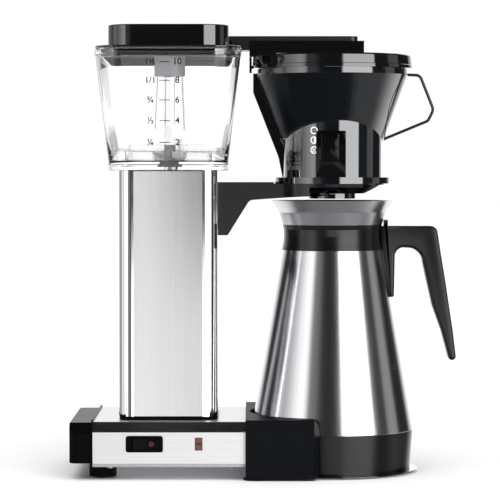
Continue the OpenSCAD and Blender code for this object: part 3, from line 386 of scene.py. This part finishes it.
def layered(name, outlines, material, smooth=35.0):
    """A solid through a stack of outlines of equal length, each an array of points, capped at both ends."""
    stack = np.stack(outlines)
    rows, columns = stack.shape[:2]
    faces = grid_faces(rows, columns, False, True).tolist()
    faces += [list(range(columns)), list(range((rows - 1) * columns, rows * columns))]
    return finish_mesh(name, stack, faces, material, smooth)


def claim(piece, body, slot, *nodes):
    """Says what the piece rides on and hides the CAD nodes it stands for; slot is not used."""
    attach(piece, body)
    if nodes:
        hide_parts(*nodes)
    return piece


BODY_OF = {node: body for body, nodes in frame["record"]["behaviour"]["bodies"].items() for node in nodes}
SLOT_OF = {part["node"]: part["material_slot"] for part in frame["record"]["subparts"]}


def softened(node, width, steps):
    """The CAD node's own shape with its doubles merged and its sharp edges rounded by width."""
    sharp = math.radians(30)
    mesh = NODES[node].data.copy()
    work = bmesh.new()
    work.from_mesh(mesh)
    bmesh.ops.remove_doubles(work, verts=work.verts, dist=2e-6)
    bmesh.ops.dissolve_limit(work, angle_limit=math.radians(0.3), verts=work.verts, edges=work.edges)
    work.to_mesh(mesh)
    work.free()
    mesh.shade_smooth()
    mesh.set_sharp_from_angle(angle=sharp)
    mesh.materials.clear()
    mesh.materials.append(finish_of(node))
    made = bpy.data.objects.new(node + "_finish", mesh)
    bpy.context.scene.collection.objects.link(made)
    rounding = made.modifiers.new("rounding", "BEVEL")
    rounding.width = width
    rounding.segments = steps
    rounding.limit_method = "ANGLE"
    rounding.angle_limit = sharp
    rounding.harden_normals = True
    return claim(made, BODY_OF[node], SLOT_OF[node], node)


# ---------------------------------------------------------------- camera, floor and light

CAMERA_AT, CAMERA_DIP = (-0.0129, -2.15, 0.2601), 1.88
FLOOR_HALF = 14.0


def studio():
    """Camera square to the front and level with the tank's floor, white floor and a wide soft light above."""
    data = bpy.data.cameras.new("camera")
    data.lens = 180
    data.sensor_width = 36
    data.clip_end = 60
    camera = bpy.data.objects.new("camera", data)
    bpy.context.scene.collection.objects.link(camera)
    camera.location = CAMERA_AT
    camera.rotation_euler = (math.radians(90 - CAMERA_DIP), 0, 0)
    bpy.context.scene.camera = camera

    paper = Paint("floor_paper", Specular_IOR_Level=0.0)
    tone = paper.noise(3, (1, 1, 1), 2.0)
    paper.set(Base_Color=paper.mix(tone, (0.93, 0.93, 0.935), (0.95, 0.95, 0.955)), Roughness=0.9)
    corners = np.array([[-1, -1, 0], [1, -1, 0], [1, 1, 0], [-1, 1, 0]]) * FLOOR_HALF
    floor = finish_mesh("floor", corners, [[0, 1, 2, 3]], paper.material)
    floor.visible_glossy = False

    sun = bpy.data.lights.new("overhead", "SUN")
    sun.energy, sun.angle = 3.0, math.radians(80)
    holder = bpy.data.objects.new("overhead", sun)
    bpy.context.scene.collection.objects.link(holder)
    holder.rotation_euler = (math.radians(12), 0, 0)
    holder.visible_glossy = False


# Brightness round the horizon by angle from the front, in degrees, right positive
SURROUND = [
    (-180, 1.3), (-154, 1.25), (-138, 0.38), (-104, 0.34), (-100, 0.6), (-92, 1.0), (-80, 0.62), (-68, 1.1),
    (-50, 1.9), (-44, 1.7), (-38, 0.2), (-34, 0.26), (-28, 0.24), (-20, 0.06), (-12, 0.03), (12, 0.03),
    (15, 3.8), (60, 3.8), (62, 0.05), (85, 0.05), (87, 0.40), (106, 0.40), (108, 0.03), (138, 0.03),
    (142, 0.5), (158, 1.25), (180, 1.3),
]
# The ring's levels are held as parts of BRIGHTEST in a colour ramp; the rest are levels of their own
BRIGHTEST = 8.0
CEILING_LEVEL, FRONT_LEVEL, BELOW_LEVEL, BELOW_REAR_LEVEL, SEEN_LEVEL = 0.03, 1.9, 0.26, 1.2, 1.02


def surround():
    """World light by direction: a soft box on either side, dark between and above, white behind."""
    world = bpy.data.worlds.new("studio_light")
    bpy.context.scene.world = world
    world.use_nodes = True
    sky = Paint.of_world(world)
    x, y, z = sky.axes(sky.node("ShaderNodeTexCoord", {}, output=0))
    # Turn about the upright axis from the front, as 0 to 1: half a turn either way
    turn = sky.node("ShaderNodeMath", {"operation": "ARCTAN2"}, x, y * -1.0) * (0.5 / math.pi) + 0.5
    ring = sky.node(
        "ShaderNodeValToRGB",
        {"stops": [((angle + 180) / 360, (level / BRIGHTEST,) * 3) for angle, level in SURROUND]},
        turn,
    )
    level = sky.node("ShaderNodeRGBToBW", {}, ring) * BRIGHTEST
    # z is the sine of the height above the horizon
    ceiling = sky.band(z, 0.46, 0.56)
    below = 1.0 - sky.band(z, -0.26, -0.22)
    paper = (1.0 - sky.band(z, -0.055, -0.02)) * (1.0 - below)
    behind = sky.band(y, -0.1, 0.5)
    centre = (1.0 - sky.band(x, 0.18, 0.3)) * sky.band(x, -0.3, -0.18)
    paper = paper * centre * (1.0 - behind)
    level = level * (1.0 - paper) + paper * FRONT_LEVEL
    level = level * (1.0 - ceiling) + ceiling * CEILING_LEVEL
    level = level * (1.0 - below) + below * (behind * BELOW_REAR_LEVEL + BELOW_LEVEL)
    seen = sky.node("ShaderNodeLightPath", {}, output=0)
    strength = level * (1.0 - seen) + seen * SEEN_LEVEL
    background = sky.tree.nodes["Background"]
    background.inputs["Color"].default_value = (1, 1, 1, 1)
    sky.feed(background.inputs["Strength"], strength)
    bpy.context.scene.view_settings.view_transform = "Standard"


# ---------------------------------------------------------------- materials by slot

def middle_x(node):
    """The x of the middle of a node's box."""
    low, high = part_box(node)
    return (low.x + high.x) / 2


def middle_z(node):
    """The z of the middle of a node's box."""
    low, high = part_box(node)
    return (low.z + high.z) / 2


# Heights and radii of the basket's cone at its foot and brim
CONE_FOOT, CONE_TOP = 285.5 * MM, 339.7 * MM
CONE_FOOT_R, CONE_TOP_R = 44.9 * MM, 65.0 * MM
BASE_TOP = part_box("base_housing")[1].z
BEVEL_FOOT = BASE_TOP - 7.9 * MM
# Radius at which an angle round an axis is laid out flat for its brushing
UNROLL_RADIUS = 0.06
# Dark metal that painted shade mixes into brushed colours
PAINTED_SHADE_METAL = (0.10, 0.10, 0.105)
BASKET_DARK, BASKET_LIGHT = (0.0022, 0.0035, 0.0055), (0.003, 0.0046, 0.0075)
PANEL_TINT, BLACK_TINT = (0.97, 0.97, 0.98), (0.0012, 0.0013, 0.0016)
brew_x, tower_x = middle_x("carafe_shell"), middle_x("tower_shell")
FINISH = {
    # The base's sloping front edge carries painted shade
    "satin_metal": brushed("satin_metal", (0.95, 0.95, 0.96), (0.012, 1, 1), 0.36, 0.02, 0.15,
                           painted_shade=bevel_painted_shade),
    "plate_steel": brushed("plate_steel", (0.60, 0.61, 0.63), (1, 0.02, 1), 0.40),
    "gloss_black": gloss("gloss_black", (0.002, 0.002, 0.0025)),
    "grained_black": moulded("grained_black", (0.0022, 0.0027, 0.0036), 0.45, 0.35, 1500, mottle=0.8,
                             shine=0.06),
    "matte_black": moulded("matte_black", (0.0024, 0.0029, 0.0038), 0.25, 0.12, shine=0.46),
    "basket_black": basket_finish(),
    "handle_black": moulded("handle_black", (0.0034, 0.0041, 0.0052), 0.26, 0.10, shine=0.36),
    "black_rubber": rubber("black_rubber", (0.0012, 0.0012, 0.0014), 0.6),
    "grey_rubber": rubber("grey_rubber", (0.30, 0.30, 0.31)),
    "red_rubber": rubber("red_rubber", (0.40, 0.06, 0.04)),
    "screw_steel": polished("screw_steel", (0.30, 0.30, 0.31), 0.35),
    "white_plastic": moulded("white_plastic", (0.80, 0.80, 0.78), 0.4, 0.05, mottle=0.05),
    "satin_black": moulded("satin_black", BLACK_TINT, 0.30, 0.05, shine=0.03),
    "red_lamp": moulded("red_lamp", (0.05, 0.006, 0.010), 0.25, mottle=1.2, shine=0.06),
    "polished_metal": polished("polished_metal", (0.93, 0.93, 0.94), 0.09),
    # The panel's colour carries painted shade towards its right and top
    "brushed_panel": brushed("brushed_panel", PANEL_TINT, (1, 1, 0.008), 0.36, 0.02, 0.25, painted_shade=panel_painted_shade),
    "copper": brushed("copper", (0.80, 0.42, 0.28), (1, 1, 0.05), 0.3),
    "hose_silicone": rubber("hose_silicone", (0.75, 0.75, 0.74), 0.5),
    "clear_glass": clear("clear_glass", (0.985, 0.99, 0.99), 1.47),
    "clear_plastic": clear("clear_plastic", (0.985, 0.99, 0.992)),
    "frosted_plastic": moulded("frosted_plastic", (0.42, 0.43, 0.46), 0.35, 0.1, coat=0.3),
    "lever_black": moulded("lever_black", BLACK_TINT, 0.12, 0.03, shine=0.16),
    # Painted light: the white print glows a little though it is no lamp
    "mark_white": moulded("mark_white", (0.85, 0.85, 0.84), 0.5, mottle=0.05, painted_glow=0.5),
    "mark_print": moulded("mark_print", (0.02, 0.02, 0.025), 0.5),
    "wire_dark": polished("wire_dark", (0.055, 0.06, 0.07), 0.30),
    "brushed_steel": brushed("brushed_steel", (0.62, 0.625, 0.64), (1, 1, 0.012), 0.17, 0.03, 0.25,
                             around=(brew_x, 0.0)),
    "polished_steel": polished("polished_steel", (0.62, 0.63, 0.65), 0.30),
    "amber_lens": lit_lens("amber_lens", (0.025, 0.006, 0.004), (0.13, 0.042, 0.025),
                           middle_z("indicator_lens"), 0.002),
}
# Nodes that look different from the rest of their slot
OWN = {
    "rocker": "satin_black", "switch_bezel": "satin_black", "left_end_cap": "satin_black",
    "tank_float": "white_plastic", "float_pin": "white_plastic", "tank_seal": "grey_rubber",
    "tower_deck": "polished_metal",
}


def finish_of(node):
    """The finish of a node: its own, or its slot's."""
    return FINISH[OWN.get(node, SLOT_OF[node])]


def paint_nodes():
    """Gives every CAD node its finish."""
    for name, node in NODES.items():
        node.data.materials.clear()
        node.data.materials.append(finish_of(name))


# ---------------------------------------------------------------- pieces, sizes in millimetres

BREW, TOWER = brew_x / MM, tower_x / MM
# Tank: half its width and depth at its floor, how far each wall leans out, and the heights it leans between
TANK_HALF_X, TANK_HALF_Y, TANK_LEAN = 50.85, 59.0, 10.3
TANK_FLOOR, TANK_BAND = 266.0, 354.6
# Round front of the basket's lower body: where its axis is in y, and its radius
FRONT_Y, FRONT_R = -8.5, 42.0


def ring(half_x, half_y, radius, z):
    """A rounded rectangle round the tower's axis at height z: straight sides joined by quarter circles."""
    turn = np.linspace(0, math.pi / 2, 12)
    out = []
    for k, (sx, sy) in enumerate([(-1, -1), (1, -1), (1, 1), (-1, 1)]):
        a = math.pi + k * math.pi / 2 + turn
        x = TOWER + sx * (half_x - radius) + radius * np.cos(a)
        y = sy * (half_y - radius) + radius * np.sin(a)
        out.append(np.stack([x, y, 0 * a + z], -1))
    return np.concatenate(out)


def water_tank():
    """Tank: rounded rectangles from the inner floor up, over the rim and down outside, wider with height."""
    wall, corner, top, middle, foot = 2.2, 24.0, 360.0, 300, 258

    def at(inset, z, grow=0.0):
        """The tank's outline at height z, moved in by inset and out by grow."""
        out = TANK_LEAN * np.clip((z - TANK_FLOOR) / (TANK_BAND - TANK_FLOOR), 0, 1) + grow - inset
        return ring(TANK_HALF_X + out, TANK_HALF_Y + out, corner - inset + grow, z)

    inner = [
        at(wall + 1.6, TANK_FLOOR), at(wall + 0.5, TANK_FLOOR + 0.4), at(wall, TANK_FLOOR + 1.6),
        at(wall, middle), at(wall, TANK_BAND), at(wall, top - 0.5), at(wall - 0.5, top),
    ]
    outer = [
        at(0, top, 0.1), at(0, top - 0.5, 0.6), at(0, TANK_BAND + 0.3, 0.6), at(0, TANK_BAND - 0.2),
        at(0, middle), at(0, TANK_FLOOR), at(0, foot + 0.5), at(0.5, foot),
    ]
    under = [at(wall - 0.4, foot), at(wall, foot + 0.4), at(wall, foot + 4.8), at(wall + 0.8, foot + 5.5)]
    rows = inner + outer + under
    tank = layered("tank_finish", [row * MM for row in rows], FINISH["clear_plastic"], smooth=28)
    claim(tank, "machine", "clear_plastic", "water_tank")
    low, shoulder, high = 266.05, 272.2, 272.6
    rows = [
        ring(37, 44, 10, low), ring(37, 44, 10, shoulder), ring(36.6, 43.6, 9.6, high),
        ring(35.4, 42.4, 8.4, high), ring(35, 42, 8, shoulder), ring(35, 42, 8, low),
    ]
    points = np.stack(rows) * MM
    fence = finish_mesh("tank_floor_ring", points, grid_faces(len(rows), points.shape[1], True, True),
                        FINISH["clear_plastic"], 28)
    claim(fence, "machine", "clear_plastic")


def carafe_wall():
    """Carafe wall, an outline turned round the upright axis: foot, cone, neck, and back down inside."""
    foot, top = (corner.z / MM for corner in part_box("carafe_shell"))
    band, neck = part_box("carafe_base")[1].z / MM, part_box("carafe_collar")[0].z / MM
    pole, steel = 0.02, 1.2
    outline = [
        (pole, foot), (66.6, foot), (68.0, band), (69.2, band), (69.5, band + 0.3), (69.35, band + steel),
        (42.7, neck), (40.0, neck), (40.0, top), (40.0 - steel, top), (40.0 - steel, neck - 1),
        (68.0 - steel, band + 1), (66.6 - steel, foot + steel), (pole, foot + steel),
    ]
    wall = turned("carafe_wall", np.array(outline) * MM, brew_x, FINISH["brushed_steel"], 240, 30)
    claim(wall, "carafe", "brushed_steel", "carafe_shell")


def arc(x, z, radius, start, end, steps):
    """Points round (x, z) from start to end degrees."""
    a = np.radians(np.linspace(start, end, steps))
    return [(x + radius * math.cos(t), z + radius * math.sin(t)) for t in a]


def pillow(name, outline, half, edge, material):
    """A plate of this (x, z) outline from -half to half in y, its rim rounded by quarter circles."""
    flat = np.array(outline, float)
    before, after = np.roll(flat, 1, 0), np.roll(flat, -1, 0)
    d0, d1 = flat - before, after - flat
    n0 = np.stack([d0[:, 1], -d0[:, 0]], -1) / np.linalg.norm(d0, axis=1)[:, None]
    n1 = np.stack([d1[:, 1], -d1[:, 0]], -1) / np.linalg.norm(d1, axis=1)[:, None]
    middle = n0 + n1
    middle /= np.maximum((middle * n0).sum(1), 0.5)[:, None]
    turn = np.linspace(0, math.pi / 2, 6)
    sides = [(edge * (1 - math.sin(t)), half - edge * (1 - math.cos(t))) for t in turn]
    rows = [(inset, -y) for inset, y in sides] + [(inset, y) for inset, y in reversed(sides)]
    stack = []
    for inset, y in rows:
        shifted = flat + middle * inset
        stack.append(np.stack([shifted[:, 0], np.full(len(flat), y), shifted[:, 1]], -1) * MM)
    return layered(name, stack, material, smooth=40)


def carafe_handle():
    """Handle: over the top, down the tapering grip to a round tip, back up, and down a prong to the body."""
    top, tip, grip = 210.4, BREW + 106.0, BREW + 42.7
    latch = top + 5.2
    outline = (
        [(grip - 1.9, top), (grip + 1.5, top), (grip + 1.5, latch), (grip + 4.9, latch), (grip + 4.9, top)]
        + arc(tip - 21.8, top - 6, 6, 90, 10, 10)
        + [(tip - 12.6, top - 26), (tip - 8.6, top - 50), (tip - 6.0, top - 67.8), (tip - 2.6, top - 90)]
        + [(tip, top - 111.6)] + arc(tip - 3.3, top - 112, 3.3, 0, -180, 10)
        + [(tip - 12.6, top - 90), (tip - 20.5, top - 67.8), (tip - 25, top - 48), (tip - 29, top - 29.7)]
        + arc(tip - 42, top - 32, 13.4, 10, 80, 12)
        + arc(grip + 18.6, top - 26.2, 7.8, 100, 180, 10)
        + [(grip + 10.2, top - 57)] + arc(grip + 8.0, top - 59.0, 2.2, 0, -100, 5)
        + [(grip + 5.4, top - 60.6), (grip - 1.6, top - 21)]
    )
    clean = [outline[0]] + [b for a, b in zip(outline, outline[1:]) if math.dist(a, b) > 0.05]
    handle = pillow("carafe_handle_finish", clean, 9.9, 2.6, FINISH["handle_black"])
    claim(handle, "carafe", "handle_black", "carafe_handle")


def wire_handle():
    """Round wire: circles square to a path of straight runs with rounded corners, in the plane y = 0."""
    wire_r = 1.25
    corners = [(121.8, 340.0), (133.0, 339.5), (144.7, 310.0), (140.0, 300.5), (101.7, 284.7)]
    open_path = fillet(corners, [0, 5.0, 7.0, 5.0, 0], steps=8)
    tangent = np.gradient(open_path, axis=0)
    tangent /= np.linalg.norm(tangent, axis=1)[:, None]
    across = np.stack([-tangent[:, 1], tangent[:, 0]], -1)
    turn = np.linspace(0, 2 * math.pi, 20, endpoint=False)
    x = open_path[:, 0:1] + wire_r * across[:, 0:1] * np.cos(turn)
    z = open_path[:, 1:2] + wire_r * across[:, 1:2] * np.cos(turn)
    rows = np.stack([x, wire_r * np.sin(turn) + 0 * x, z], -1) * MM
    wire = layered("wire_handle_finish", list(rows), FINISH["wire_dark"], smooth=50)
    claim(wire, "filter_basket", "wire_dark", "basket_handle")


def curved_slab(name, inner, outer, x0, x1, z0, z1, edge, top_slope=0.0):
    """A slab bent round the basket's front between two radii, from x0 to x1 and z0 to z1.

    Its outer rim is rounded by edge, and its top falls by top_slope for each millimetre outwards.
    """
    a0, a1 = math.asin((x0 - BREW) / outer), math.asin((x1 - BREW) / outer)
    cut = edge * np.array([1, 0.3, 0, 0])
    depth = np.array([outer, outer - 0.3 * edge, outer - edge, inner])
    rows = []
    for inset, radius in zip(cut, depth):
        lo, hi = a0 + inset / outer, a1 - inset / outer
        top = z1 - inset - top_slope * (radius - inner)
        side = np.linspace(lo, hi, 16)
        turn = np.concatenate([side, np.full(3, hi), side[::-1], np.full(3, lo)])
        up = np.linspace(z0 + inset, top, 5)[1:4]
        z = np.concatenate([np.full(16, z0 + inset), up, np.full(16, top), up[::-1]])
        rows.append(np.stack([BREW + radius * np.sin(turn), FRONT_Y - radius * np.cos(turn), z], -1) * MM)
    return layered(name, rows, FINISH["lever_black"])


def lever_parts():
    """Housing and drip lever, both bent to the basket's round front."""
    guide = curved_slab("lever_guide_finish", 41.5, 44.9, 42.3, 67.7, 252.2, 291.6, 0.7, top_slope=0.5)
    claim(guide, "filter_basket", "gloss_black", "lever_guide")
    lever = curved_slab("drip_lever_finish", 45.3, 48.5, 46.2, 61.8, 265.2, 288.8, 0.8)
    claim(lever, "drip_lever", "gloss_black", "drip_lever")
    rib = curved_slab("drip_lever_rib", 48.2, 50.1, 47.0, 61.0, 275.9, 278.1, 0.6)
    claim(rib, "drip_lever", "gloss_black")


def bent_marks():
    """Three printed rings on the basket: open, half filled and crossed, bent round its front."""
    outer, inner, centre_x, bar = 3.2, 2.35, 40.9, 0.3
    open_z, half_z, crossed_z = 291.6, 283.5, 275.2
    start, print_r = math.asin((centre_x - BREW) / FRONT_R), FRONT_R + 0.04
    turn = np.linspace(0, 2 * math.pi, 48, endpoint=False)
    points, faces = [], []

    def patch(u, v, z, quads):
        """Lays a flat patch's points (u, v) on the round front at height z, with these faces between them."""
        faces.extend((quads + sum(len(p) for p in points)).tolist())
        a = start + u / FRONT_R
        points.append(np.stack([BREW + print_r * np.sin(a), FRONT_Y - print_r * np.cos(a), z + v], -1))

    for z in (open_z, half_z, crossed_z):
        u = np.concatenate([outer * np.cos(turn), inner * np.cos(turn)])
        v = np.concatenate([outer * np.sin(turn), inner * np.sin(turn)])
        patch(u, v, z, grid_faces(2, 48, False, True))
    rise = np.linspace(-inner, inner, 24)
    edge = np.sqrt(np.maximum(inner ** 2 - rise ** 2, 0.0004))
    u, v = np.concatenate([0 * rise, edge]), np.concatenate([rise, rise])
    patch(u, v, half_z, grid_faces(2, 24, False, False))
    along = np.linspace(-inner, inner, 8)
    for lean in (math.pi / 4, 3 * math.pi / 4):
        right, up = math.cos(lean), math.sin(lean)
        u = np.concatenate([along * right - bar * up, along * right + bar * up])
        v = np.concatenate([along * up + bar * right, along * up - bar * right])
        patch(u, v, crossed_z, grid_faces(2, 8, False, False))
    marks = finish_mesh("basket_marks", np.concatenate(points) * MM, faces, FINISH["mark_white"])
    solid = marks.modifiers.new("print", "SOLIDIFY")
    solid.thickness, solid.offset = 0.06 * MM, 0
    claim(marks, "filter_basket", "white_plastic")


def tank_numbers():
    """Cups and measures printed beside the level lines, lying on the tank's leaning front wall."""
    slope, clearance = TANK_LEAN / (TANK_BAND - TANK_FLOOR), 0.2
    turn = Matrix.Rotation(math.pi / 2 + math.atan(slope), 4, "X")
    rows = [
        (348.4, "1\u00bc", "10"), (333.0, "1/1", "8"), (316.7, "\u00be", "6"), (299.5, "\u00bd", "4"),
        (281.4, "\u00bc", "2"),
    ]
    for number, (z, measure, cups) in enumerate(rows):
        y = -(TANK_HALF_Y + slope * (z - TANK_FLOOR)) - clearance
        for side, words, x in (("left", measure, -95.8), ("right", cups, -73.4)):
            text = bpy.data.curves.new("words", "FONT")
            text.body, text.size = words, 7.4 * MM
            text.align_x, text.align_y = "CENTER", "CENTER"
            text.extrude, text.offset = 0.03 * MM, 0.16 * MM
            letter = bpy.data.objects.new("words", text)
            bpy.context.scene.collection.objects.link(letter)
            bpy.context.view_layer.update()
            shaped = letter.evaluated_get(bpy.context.evaluated_depsgraph_get())
            mesh = bpy.data.meshes.new_from_object(shaped)
            bpy.data.objects.remove(letter)
            mesh.transform(Matrix.Translation((x * MM, y * MM, z * MM)) @ turn)
            mesh.materials.clear()
            mesh.materials.append(FINISH["mark_print"])
            printed = bpy.data.objects.new("level_%s_%d" % (side, number), mesh)
            bpy.context.scene.collection.objects.link(printed)
            claim(printed, "machine", "mark_print")


# Rounding of sharp edges by node, in millimetres
SOFT = {
    "outlet_arm": 0.8, "tank_lid": 1.0, "carafe_holder": 0.7, "left_end_cap": 0.8, "rubber_feet": 1.2,
    "switch_bezel": 0.5, "rocker": 0.5, "indicator_lens": 0.4, "basket_bracket": 0.9, "base_housing": 0.4,
    "front_panel": 0.3,
}


def soften_nodes():
    """Rounds the sharp edges of the moulded and pressed parts by the widths in SOFT."""
    for node, width in SOFT.items():
        softened(node, width * MM, steps=4 if width > 1 else 2)


studio()
surround()
paint_nodes()
soften_nodes()
water_tank()
carafe_wall()
carafe_handle()
wire_handle()
lever_parts()
bent_marks()
tank_numbers()
